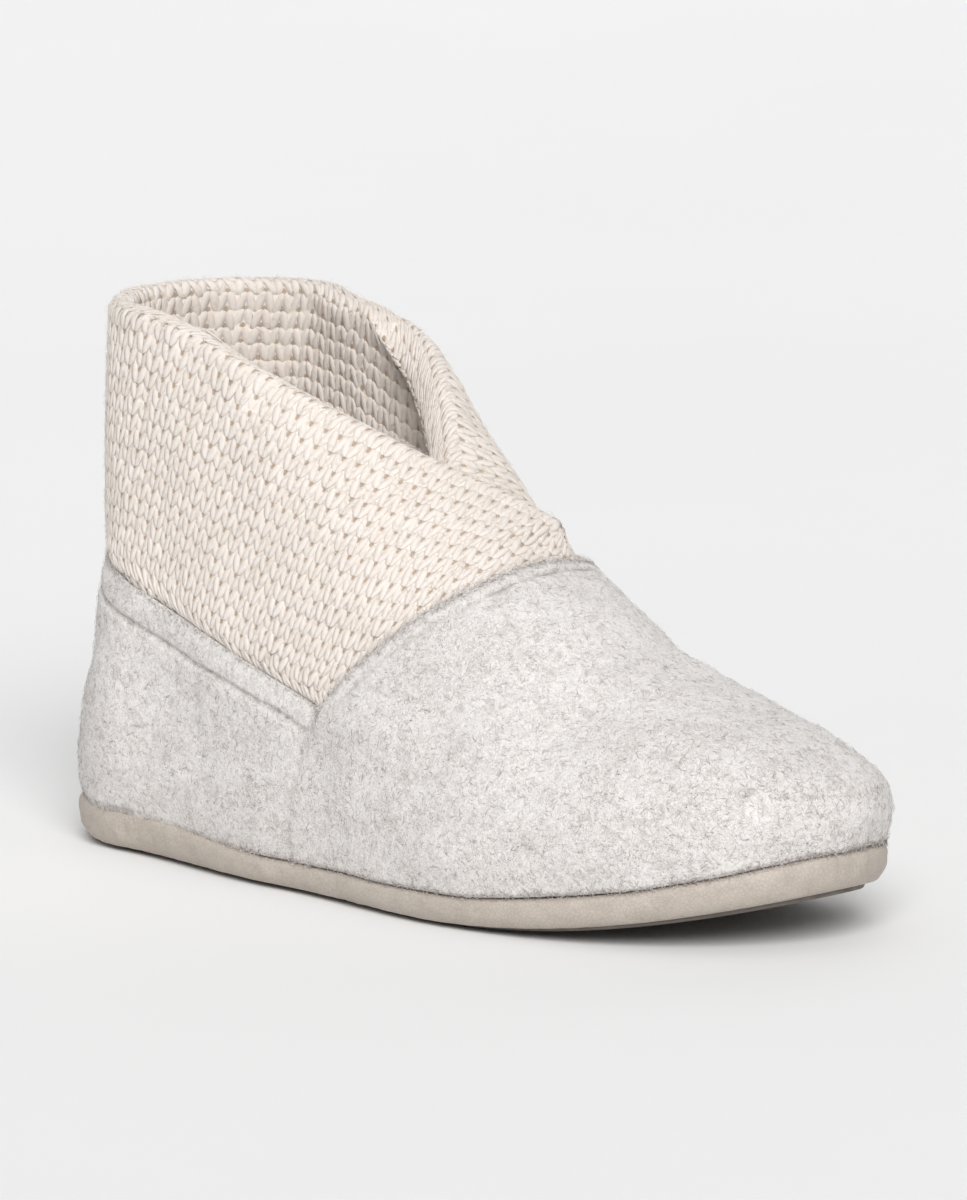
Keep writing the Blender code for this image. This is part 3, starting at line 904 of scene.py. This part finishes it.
# Cross-section of the band: points up the outside, over the fold and down the inside
def bandSection(fromHeel):
    angle = np.pi - math.radians(fromHeel)
    edge = feltEdgeLevel(np.array([angle]))[0]
    perMetre = 1 / climb(edge, angle)
    rim = levelWhere(np.array([angle]), lambda point: point[..., 2] - rimHeight(fromHeel))[0]
    crest = max(rim, edge + band["thick"] * perMetre)
    puff = band["roll"] * easeIn(-fromHeel, band["rollZone"])
    fold = crest - (band["thick"] + puff) / 2 / climb(crest, angle)
    bottom = max(band["lowest"], edge - band["reach"] * perMetre)
    level = np.linspace(bottom, fold, band["sideSteps"])
    point = formPoint(level, angle)
    height = point[:, 2]
    front = easeIn(point[:, 0], band["frontZone"]) * (fromHeel > 0)
    aboveStart = overFelt(point) - band["swellFrom"] * (1 - front)
    swollen = ease(aboveStart / (band["swell"] + band["frontSwell"] * front))
    thick = band["pressed"] + (band["thick"] - band["pressed"]) * swollen
    pressed = 1 + (band["pressedAbove"] - 1) * swollen
    tucked = np.clip((edge - level) / (band["lipHeight"] * perMetre), 0, 1)
    behind = band["seamGap"] + felt["lip"] + (felt["thick"] - felt["lip"]) * tucked + hemLean(point)
    out = lapShift(fromHeel, pressed, height) * (thick + sole["gap"]) - behind * (1 - swollen)
    nearFold = ease((height - rimHeight(fromHeel)) / band["rollDepth"] + 1)
    out = out + band["fill"] * bell(-fromHeel - band["fillAt"], band["fillSpan"]) * nearFold
    thick = thick + puff * nearFold * clearOfLap(fromHeel, height)
    turn = np.radians(np.arange(*band["foldTurns"]))
    overFold = level[-1] + thick[-1] / 2 * np.sin(turn) / climb(level[-1], angle)
    across = out[-1] - thick[-1] / 2 * (1 - np.cos(turn))
    levels = np.concatenate([level, overFold, level[::-1]])
    outs = np.concatenate([out, across, (out - thick)[::-1]])
    return {
        "points": offsetPoint(levels, angle, outs),
        "crestAt": len(level) + (len(turn) - 1) / 2,
        "level": level,
        "edge": edge,
        "foot": edge - band["tuck"] * perMetre,
    }


# Least distance of points to a line of points
def toLine(points, line):
    start, way = line[:-1], np.diff(line, axis=0)
    apart = points[:, None] - start
    share = np.clip((apart * way).sum(-1) / (way * way).sum(-1), 0, 1)
    return np.linalg.norm(apart - share[..., None] * way, axis=-1).min(axis=1)


# The band as a grid of columns round the ankle and depths square to the fold, below 0 on its inside
def windBand():
    turns = np.linspace(-band["wrapTo"], band["wrapTo"], band["columns"])
    depths = np.arange(*band["depths"])
    sections = [bandSection(fromHeel) for fromHeel in turns]
    crest = []
    for section in sections:
        numbers = np.arange(len(section["points"]))
        crest.append([np.interp(section["crestAt"], numbers, axis) for axis in section["points"].T])
    crest = np.array(crest)
    grid = np.empty((len(turns), len(depths), 3))
    ends = np.empty((len(turns), 3))
    for column, section in enumerate(sections):
        points, side = section["points"], len(section["level"])
        near = crest[max(column - band["near"], 0) : column + band["near"]]
        depth = toLine(points, near)
        split = int(section["crestAt"]) + 1
        depth[:split] = np.maximum.accumulate(depth[:split][::-1] + np.arange(split) * 1e-9)[::-1]
        depth[split:] = -np.maximum.accumulate(depth[split:] + np.arange(len(depth) - split) * 1e-9)
        for axis in range(3):
            grid[column, :, axis] = np.interp(depths, depth[::-1], points[::-1, axis])
        outer, inner = depth[:side], depth[-side:][::-1]
        ends[column] = (
            np.interp(section["edge"], section["level"], outer),
            np.interp(section["foot"], section["level"], outer),
            np.interp(section["foot"], section["level"], inner),
        )
    along = np.gradient(grid, axis=0)
    down = np.gradient(grid, axis=1)
    normals = unit(np.cross(down, along))
    steps = np.linalg.norm(np.diff(grid, axis=0), axis=-1)
    run = np.concatenate([np.zeros((1, len(depths))), np.cumsum(steps, axis=0)])
    run -= run[len(turns) // 2]
    return {"turns": turns, "depths": depths, "grid": grid, "normals": normals, "run": run, "ends": ends}


def depthRow(wound, depth):
    return np.clip((depth - wound["depths"][0]) / band["depths"][2], 0, len(wound["depths"]) - 1.001)


# Place on the wound band from a column number and a depth under the fold
def onBand(wound, column, depth):
    row = depthRow(wound, depth)
    column = np.clip(column, 0, len(wound["turns"]) - 1.001)
    r, c = row.astype(int), column.astype(int)
    fr, fc = (row - r)[..., None], (column - c)[..., None]

    def blend(field):
        low = field[c, r] * (1 - fc) + field[c + 1, r] * fc
        high = field[c, r + 1] * (1 - fc) + field[c + 1, r + 1] * fc
        return low * (1 - fr) + high * fr

    return blend(wound["grid"]), unit(blend(wound["normals"]))


stitch = {
    "wale": 0.0038,  # along the rim at the heel
    "closer": 1.0,  # how the wales close up towards the front, in each metre
    "lean": 0.39, "leanOver": 0.060,
    "halfRun": 0.25,  # wales are laid out this far both ways from the heel
    "course": 0.00314,
    "innerCourse": 0.0031,
    "courses": 26,
    "innerCourses": 25, "innerClose": 0.06,
    "foldOver": 0.014,
    "under": 0.0035,  # how far the knit runs on behind the felt's edge
    "innerUnder": 0.0008,
    "sink": 0.00040,
    "foot": 0.11,  # legs of a loop off its middle, in wales
    "top": 0.41,
    "bow": 0.03,
    "halfWide": 0.29,  # of a wale
    "halfThick": 0.00017,
    "backing": 0.00002,  # yarn between the legs, below their middle
    "halfLong": 0.62,  # of a course
    "offset": 0.30,
    "bluntHead": 0.5,  # under 1 the ends are fuller than a ball's
    "bluntFoot": 0.62,
    "arch": 0.00007, "archFall": (1.6, 2.2),
    "tilt": 0.00006,  # the foot of a loop lies over the head of the one below
    "innerTilt": 0.00015,
    "seed": 28,
    "uneven": 0.06,
    "wander": (0.5, 0.7, 0.0010),  # parts of it across, along and off the band
    "backingEvery": 3, "backingRows": 30,
}


# Column number where a wale lies at a depth: leaning outside, closing up over the fold inside
def waleColumn(wound, wale, depth):
    atRim = wale * (1 - stitch["closer"] * np.abs(wale))
    outside = stitch["lean"] * np.tanh(wale / stitch["leanOver"]) * np.maximum(depth, 0)
    inside = atRim * stitch["innerClose"] * ease(-depth / stitch["foldOver"])
    want = atRim - outside - inside
    row = depthRow(wound, depth)
    low = row.astype(int)
    found = np.empty(want.shape)
    numbers = np.arange(len(wound["turns"]))
    for r in np.unique(low):
        here = low == r
        first = np.interp(want[here], wound["run"][:, r], numbers)
        second = np.interp(want[here], wound["run"][:, r + 1], numbers)
        found[here] = first + (second - first) * (row[here] - r)
    return found


# The two legs of a knitted loop in shares of a wale, a course, and height off the band
def loopShape(tilt):
    ball = ballShape(6, 6)
    x, y, z = ball["points"].T
    full = np.sqrt(np.maximum(1 - z**2, 0))
    blunt = np.where(z > 0, stitch["bluntHead"], stitch["bluntFoot"])
    full = np.where(full > 0, full**blunt / np.maximum(full, 1e-9), 0)
    middle, slant = (stitch["foot"] + stitch["top"]) / 2, (stitch["top"] - stitch["foot"]) / 2
    fall, power = stitch["archFall"]
    legs = []
    for hand in (1, -1):
        s = hand * (middle + slant * z + stitch["bow"] * (1 - z**2)) + x * full * stitch["halfWide"]
        t = stitch["offset"] + stitch["halfLong"] * z
        h = stitch["arch"] * (1 - fall * np.abs(z) ** power) - tilt * z + y * full * stitch["halfThick"]
        legs.append(np.stack([s, t, h], -1))
    count = len(x)
    return {
        "points": np.concatenate(legs),
        "faces": ball["faces"] + [face + count for face in ball["faces"]],
        "uv": np.tile(ball["uv"], (2, 1)),
    }


def makeKnit(wound):
    draw = np.random.default_rng(stitch["seed"])
    yarn = yarnMaterial("cream_yarn", knitLook)
    edgeDepth, _, footIn = wound["ends"].T
    columns = np.arange(len(edgeDepth))
    waleCount = int(stitch["halfRun"] / stitch["wale"])
    wales = (np.arange(-waleCount, waleCount) + 0.5) * stitch["wale"]
    across, along, off = stitch["wander"]
    kept = {}
    for name, hand, keys in (
        ("knit_outside", 1, ("tilt", "course", "courses")),
        ("knit_inside", -1, ("innerTilt", "innerCourse", "innerCourses")),
    ):
        tilt, pitch, courses = (stitch[key] for key in keys)
        shape = loopShape(tilt)
        depths = (np.arange(courses) + 0.5) * pitch * hand
        wale, depth = (grid.ravel() for grid in np.meshgrid(wales, depths))
        column = waleColumn(wound, wale, depth)
        shown = (column > 1.5) & (column < len(columns) - 2.5)
        if hand > 0:
            shown &= depth < np.interp(column, columns, edgeDepth + stitch["under"])
        else:
            shown &= depth > np.interp(column, columns, footIn + stitch["innerUnder"])
        wale, depth = wale[shown], depth[shown]
        count = len(wale)
        s, t, h = shape["points"].T
        wander = draw.normal(size=(count, 4)) * stitch["uneven"]
        swell = 1 + wander[:, 2:3]
        wide = wale[:, None] + (s * swell + wander[:, :1] * across) * stitch["wale"]
        deep = depth[:, None] - (t + wander[:, 1:2] * along) * pitch
        point, normal = onBand(wound, waleColumn(wound, wide, deep), deep)
        high = h * swell - stitch["sink"] + wander[:, 3:4] * off
        spots = point + normal * high[..., None]
        piece = joinCopies(name, shape, spots, np.clip(0.5 + wander[:, 2] * 4, 0, 1))
        dress(piece, yarn, "knit")
        kept[name] = (spots, normal)
    return kept


def makeBacking(wound):
    every = slice(0, None, stitch["backingEvery"])
    numbers = np.arange(len(wound["turns"]))[every]
    _, footOut, footIn = wound["ends"][every].T
    half = stitch["backingRows"]
    shares = [np.linspace(1, 0, half, endpoint=False), np.linspace(0, -1, half + 1)]
    shares = np.concatenate(shares)[:, None]
    depth = np.where(shares > 0, shares * footOut, -shares * footIn)
    point, normal = onBand(wound, np.broadcast_to(numbers, depth.shape).astype(float), depth)
    rows = point - normal * (stitch["sink"] + stitch["backing"])
    rows = np.concatenate([rows, rows[:1]])
    piece = laySheet("knit_backing", rows)
    # stitch numbers as coordinates: wales round the ankle, courses down from the fold
    fine = np.linspace(-stitch["halfRun"], stitch["halfRun"], 400)
    number = np.empty(rows.shape[:2] + (2,))
    for row, deep in enumerate(np.concatenate([depth, depth[:1]])):
        for spot, d in enumerate(deep):
            columns = waleColumn(wound, fine, np.full(len(fine), d))
            number[row, spot, 0] = np.interp(numbers[spot], columns, fine) / stitch["wale"]
            number[row, spot, 1] = d / (stitch["course"] if d > 0 else stitch["innerCourse"])
    corner = np.empty(len(piece.data.loops), np.int32)
    piece.data.loops.foreach_get("vertex_index", corner)
    setAll(piece.data.uv_layers.new(name="stitches").data, "uv", number.reshape(-1, 2)[corner])
    sew(piece)
    capEnds(piece)
    dress(piece, backingMaterial("knit_shadow", knitLook), "knit", "knit_collar")


knitFuzz = {
    "seed": 17, "bendSeed": 18,
    "hairs": 31000,
    "parts": {"knit_outside": 0.7, "knit_inside": 0.3},
    "long": 0.0028,
    "short": 0.0008,
    "lift": 0.4,
    "width": 0.00007,
    "colours": ((0.62, 0.54, 0.46), (0.92, 0.87, 0.80)),
}


def makeKnitFuzz(kept):
    draw = np.random.default_rng(knitFuzz["seed"])
    roots, normals = [], []
    for name, part in knitFuzz["parts"].items():
        spots, normal = (field.reshape(-1, 3) for field in kept[name])
        pick = draw.integers(0, len(spots), int(knitFuzz["hairs"] * part))
        roots.append(spots[pick])
        normals.append(normal[pick])
    root, normal = np.concatenate(roots), np.concatenate(normals)
    spots = hairSpots(knitFuzz, draw, root, normal, 1.0, knitFuzz["lift"])
    piece = joinCopies("knit_fuzz", hair, spots, draw.uniform(0.45, 1, len(root)))
    dress(piece, fibreMaterial("yarn_hairs", *knitFuzz["colours"]), "knit")


vampThread = {"radius": 0.00017, "sink": 0.00016, "blunt": 0.4, "steps": 5000, "ahead": 3}


# Sewing thread sunk in the vamp's stitch line, showing on every second stretch
def makeVampThread():
    ball = ballShape(6, 8)
    line = np.linspace(-np.pi, np.pi, vampThread["steps"])
    level = levelWhere(line, lambda point: felt["vampHem"] + over(vampLine, point))
    point = formPoint(level, line)
    place = offsetPoint(level, line, feltRelief(point, np.full_like(level, felt["vampHem"])))
    normal = formNormal(level, line)
    onTop = stitchMark(point) > 0.5
    starts = np.flatnonzero(onTop[1:] & ~onTop[:-1]) + 1
    stops = np.flatnonzero(~onTop[1:] & onTop[:-1]) + 1
    x, y, z = ball["points"].T
    where = starts[:, None] + (z + 1) / 2 * (stops - starts)[:, None]

    def onLine(field, numbers):
        return np.stack([np.interp(numbers, np.arange(len(line)), axis) for axis in field.T], -1)

    spot, ahead = onLine(place, where), onLine(place, where + vampThread["ahead"])
    up = unit(onLine(normal, where))
    side = np.cross(unit(ahead - spot), up)
    full = 1 / np.maximum(np.sqrt(np.maximum(1 - z**2, 1e-6)), vampThread["blunt"])
    across = (x * full * vampThread["radius"])[None, :, None]
    high = y * full * vampThread["radius"] - vampThread["sink"] * (0.3 + z**4)
    piece = joinCopies("vamp_thread", ball, spot + side * across + up * high[None, :, None])
    dress(piece, threadMaterial("sewing_thread", threadLook), "felt")


# Wrapped side of the sole: out from the outline, share of the base, share of the side's height
wrap = {
    "rows": (
        (-0.0016, 1.0, 0.00),
        (-0.0010, 0.98, 0.03),
        (-0.0004, 0.9, 0.14),
        (0.0001, 0.7, 0.28),
        (0.0004, 0.5, 0.42),
        (0.00055, 0.25, 0.58),
        (0.0006, 0.0, 0.74),
        (0.00045, -0.2, 0.86),
        (0.0002, -0.4, 0.94),
        (-0.0006, -0.4, 1.00),
    ),
    "columns": 480,
    "rowSteps": 26,
    "inward": (-0.004, -0.010),  # on under the felt
    "pleat": 0.00010,
    "edgeBite": 0.00016,
    "bentZone": (0.05, 0.03),  # off the middle of the length, where the pleats deepen
    "heelRise": 0.0030, "heelOut": 0.0007,
}


def makeSoleSide():
    angle = roundAngles(wrap["columns"])
    table = np.array(wrap["rows"])
    spread = np.linspace(0, len(table) - 1, wrap["rowSteps"])
    columns = (np.interp(spread, np.arange(len(table)), column) for column in table.T)
    inset = np.full_like(angle, -sole["treadInset"] + sole["gap"])
    heights = (sole["treadThick"] + sole["gap"], sole["sideBase"])
    rows = [soleRing(inset, height, 0.0, angle) for height in heights]
    middle, heel = formPoint(0.0, angle), heelShare(angle)
    flat = middle * np.array([1, 1, 0])
    bent = 0.5 + 0.5 * easeIn(np.abs(middle[:, 0] - last["length"] * 0.5), wrap["bentZone"])
    for out, base, share in zip(*columns):
        shown = np.sin(np.pi * np.clip(share, 0, 1))
        pleats = softWaves(flat + np.array([0, 0, share * 0.010]), 0.0055, 31)
        pleats += 0.7 * softWaves(flat + np.array([0, 0, share * 0.002]), 0.0024, 32)
        edgeBite = wrap["edgeBite"] * softWaves(flat, 0.0030, 33) * bell(share, 0.12)
        side = out + wrap["pleat"] * pleats * bent * shown - np.abs(edgeBite)
        ring = soleRing(side + wrap["heelOut"] * heel * share**2, sole["sideBase"] * base, share, angle)
        ring[:, 2] += wrap["heelRise"] * heel * share**2
        rows.append(ring)
    for inward in wrap["inward"]:
        rows.append(soleRing(np.full_like(angle, inward), sole["sideBase"] * table[-1, 1], 1.0, angle))
    piece = laySheet("sole_side", np.stack(rows))
    sew(piece)
    capEnds(piece)
    dress(piece, wrapMaterial("wrapped_side", wrapLook), "sole_wrap", "midsole")


# A sheet across the sole, heel to toe, between the two sides of an outline
def soleSheet(inset, along, across):
    turn = np.linspace(0.02, np.pi - 0.02, along)
    share = np.linspace(0, 1, across)[:, None]
    left = outline(np.full_like(turn, inset), turn)
    right = outline(np.full_like(turn, inset), 2 * np.pi - turn)
    return left + (right - left) * share[..., None]


# Distances on such a sheet from its sides, and from its ends
def sheetEdges(flat):
    across = np.linspace(0, 1, len(flat))[:, None]
    width = np.linalg.norm(flat[-1] - flat[0], axis=-1)
    x = flat[..., 0]
    return np.minimum(across, 1 - across) * width, np.minimum(x - x.min(), x.max() - x)


# Two sheets one over the other, closed round their rims
def closedSheets(name, flat, showing, hidden):
    sheets = []
    for heights in (showing, hidden):
        points = flat.copy()
        points[..., 2] = heights
        sheets.append(laySheet(name, points))
    piece, other = sheets
    pickOnly(piece)
    other.select_set(True)
    bpy.ops.object.join()
    pickOpenEdges()
    bpy.ops.mesh.bridge_edge_loops()
    faceOut()
    bpy.ops.object.shade_smooth_by_angle(angle=math.radians(40))
    return piece


tread = {
    "along": 330,
    "across": 70,
    "rib": 0.0042,
    "depth": 0.00055,
    "edgeZone": (0.0030, 0.001),
    "zigzag": 0.0022, "zigzagWidth": 0.009,
}


def makeTread():
    flat = soleSheet(-sole["treadInset"], tread["along"], tread["across"])
    x, y = flat[..., 0], flat[..., 1]
    base = toeRise(x) * sole["baseSpring"]
    share = x / last["length"]
    arch = ease((share - sole["archFrom"]) / sole["archBlend"])
    arch = arch * ease((sole["archTo"] - share) / sole["archBlend"])
    fromEdge = np.minimum(*sheetEdges(flat))
    inner = easeIn(fromEdge, tread["edgeZone"])
    zigzag = tread["zigzag"] * np.abs(((y / tread["zigzagWidth"]) % 1) * 2 - 1)
    wave = np.sin((x + zigzag) * 2 * np.pi / tread["rib"])
    groove = tread["depth"] * ease(wave * 1.6 + 0.2) * inner
    rounded = sole["treadChamfer"] * (1 - ease(fromEdge / sole["treadChamfer"]))
    under = base + sole["archLift"] * arch + groove + rounded
    piece = closedSheets("tread_sheet", flat, under, base + sole["treadThick"])
    dress(piece, treadMaterial("tread_rubber_darkened_as_shadow", treadShadowLook), "tread_rubber", "outsole")


footbed = {
    "along": 150,
    "across": 46,
    "cup": 0.0010, "cupZone": (0.003, 0.012),
    "round": 0.0010,
    "endRound": 0.0004,
    "tint": 0.92,
}


def makeFootbed():
    flat = soleSheet(-(felt["thick"] + 2 * sole["gap"]), footbed["along"], footbed["across"])
    fromSide, fromEnd = sheetEdges(flat)
    fromEdge = np.minimum(fromSide, fromEnd + footbed["endRound"])
    short = 1 - np.clip(fromEdge / footbed["round"], 0, 1)
    rounded = footbed["round"] * (1 - np.sqrt(np.clip(1 - short**2, 0, 1)))
    uneven = 0.75 + 0.25 * softWaves(flat, 0.03, 41)
    dent = footbed["cup"] * easeIn(fromEdge, footbed["cupZone"]) * uneven
    above = flat[..., 2] + (sole["insoleThick"] - rounded - dent)
    piece = closedSheets("footbed", flat, above, flat[..., 2])
    dress(piece, feltMaterial("footbed_felt", feltLook, footbed["tint"]), "insole_felt", "insole")


# Studio: pale sweep, one wide far light that lights it evenly, long lens at the photograph's angle
studio = {
    "azimuth": 43.684,
    "elevation": 10.071,
    "distance": 2.037,
    "aim": (0.0013, 0.0019, 0.0544),
    "focalPixels": 10780.0,
    "imageWidth": 967.0,
    "sensor": 36.0,
    "clipStart": 0.05,
    "floor": (0.90, 0.90, 0.90), "floorFaint": 0.985, "floorClouds": 3.0, "floorSize": 12,
    "floorSteps": 40,
    "sweepFrom": 2.6, "sweepRise": 0.9, "sweepPower": 1.5,
    "world": (1.0, 1.0, 1.0), "worldStrength": 0.37,
    "window": (3.60, -3.30, 3.75), "windowStrength": 2.65, "windowSpread": 34.0,
}


def makeFloor(back):
    bpy.ops.object.select_all(action="DESELECT")
    steps = studio["floorSteps"]
    bpy.ops.mesh.primitive_grid_add(x_subdivisions=steps, y_subdivisions=steps, size=studio["floorSize"])
    floor = bpy.context.object
    floor.name = floor.data.name = "studio_floor"
    place = newMaterial("pale_floor")
    faint = tuple(v * studio["floorFaint"] for v in studio["floor"])
    base = ramp(noise(place, studio["floorClouds"]), (0.4, faint), (0.6, studio["floor"]))
    look = finishLook(base, None, None, {"Roughness": 0.9, "Specular IOR Level": 0.1})
    floor.data.materials.append(look)
    points = np.array([vertex.co for vertex in floor.data.vertices])
    away = -(points[:, :2] @ (back[:2] / np.linalg.norm(back[:2]))) - studio["sweepFrom"]
    points[:, 2] = studio["sweepRise"] * np.clip(away, 0, None) ** studio["sweepPower"]
    setAll(floor.data.vertices, "co", points)
    floor.data.shade_smooth()


def makeStudio():
    a, e = math.radians(studio["azimuth"]), math.radians(studio["elevation"])
    back = np.array([math.sin(a) * math.cos(e), -math.cos(a) * math.cos(e), math.sin(e)])
    makeFloor(back)
    world = bpy.data.worlds.new("studio")
    world.use_nodes = True
    light = world.node_tree.nodes["Background"].inputs
    light["Color"].default_value = (*studio["world"], 1)
    light["Strength"].default_value = studio["worldStrength"]
    bpy.context.scene.world = world
    aim = np.array(studio["aim"])
    bpy.ops.object.light_add(type="SUN", location=studio["window"])
    window = bpy.context.object
    window.name = "window"
    window.data.energy = studio["windowStrength"]
    window.data.angle = math.radians(studio["windowSpread"])
    x, y, z = aim - np.array(studio["window"])
    window.rotation_euler = (math.atan2(math.hypot(x, y), -z), 0, math.atan2(-x, y))
    bpy.ops.object.camera_add(location=tuple(aim + back * studio["distance"]))
    camera = bpy.context.object
    camera.name = "photo_camera"
    camera.rotation_euler = (math.pi / 2 - e, 0, a)
    camera.data.sensor_fit = "HORIZONTAL"
    camera.data.sensor_width = studio["sensor"]
    camera.data.lens = studio["focalPixels"] / studio["imageWidth"] * studio["sensor"]
    camera.data.clip_start = studio["clipStart"]
    camera.data.dof.use_dof = False
    bpy.context.scene.camera = camera
    print("studio ready")


makeStudio()
feltEdge = makeFelt()
makeFeltFuzz(*feltEdge)
makeVampThread()
wound = windBand()
makeBacking(wound)
stitches = makeKnit(wound)
makeKnitFuzz(stitches)
makeSoleSide()
makeTread()
makeFootbed()
